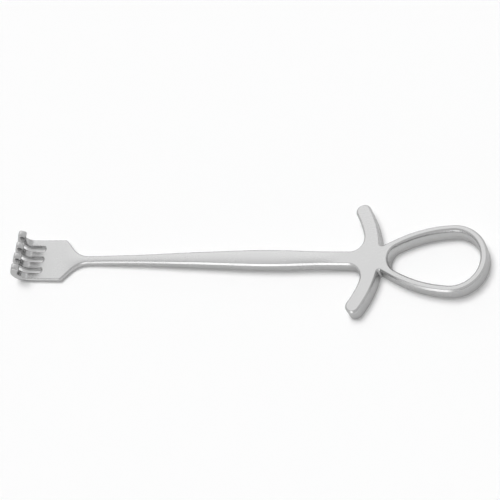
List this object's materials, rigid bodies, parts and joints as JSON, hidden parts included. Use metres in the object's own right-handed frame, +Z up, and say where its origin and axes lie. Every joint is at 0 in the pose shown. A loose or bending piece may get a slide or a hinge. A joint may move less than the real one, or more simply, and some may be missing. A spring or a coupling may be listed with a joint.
{
  "type": "rake retractor",
  "caption": "Hand-held surgical rake retractor: blunt prongs curl up from a slotted plate, a bevelled shank, a yoke with curved finger rests and a teardrop finger ring.",
  "frame": {"origin": "middle of the yoke's flat underside, on the middle line, under where the rests cross the shank's line", "axes": "+X along the shank towards the ring, +Y across towards the far finger rest, +Z up, the way the prongs point"},
  "size_m": [0.2151, 0.0502, 0.0167],
  "materials": {
    "steel": "satin"
  },
  "bodies": {
    "root": {"rake_plate": "steel", "prong_far_outer": "steel", "prong_far_inner": "steel", "prong_near_inner": "steel", "prong_near_outer": "steel", "shank": "steel", "yoke": "steel", "finger_rest_far": "steel", "finger_rest_near": "steel", "ring_handle": "steel"}
  },
  "joints": []
}
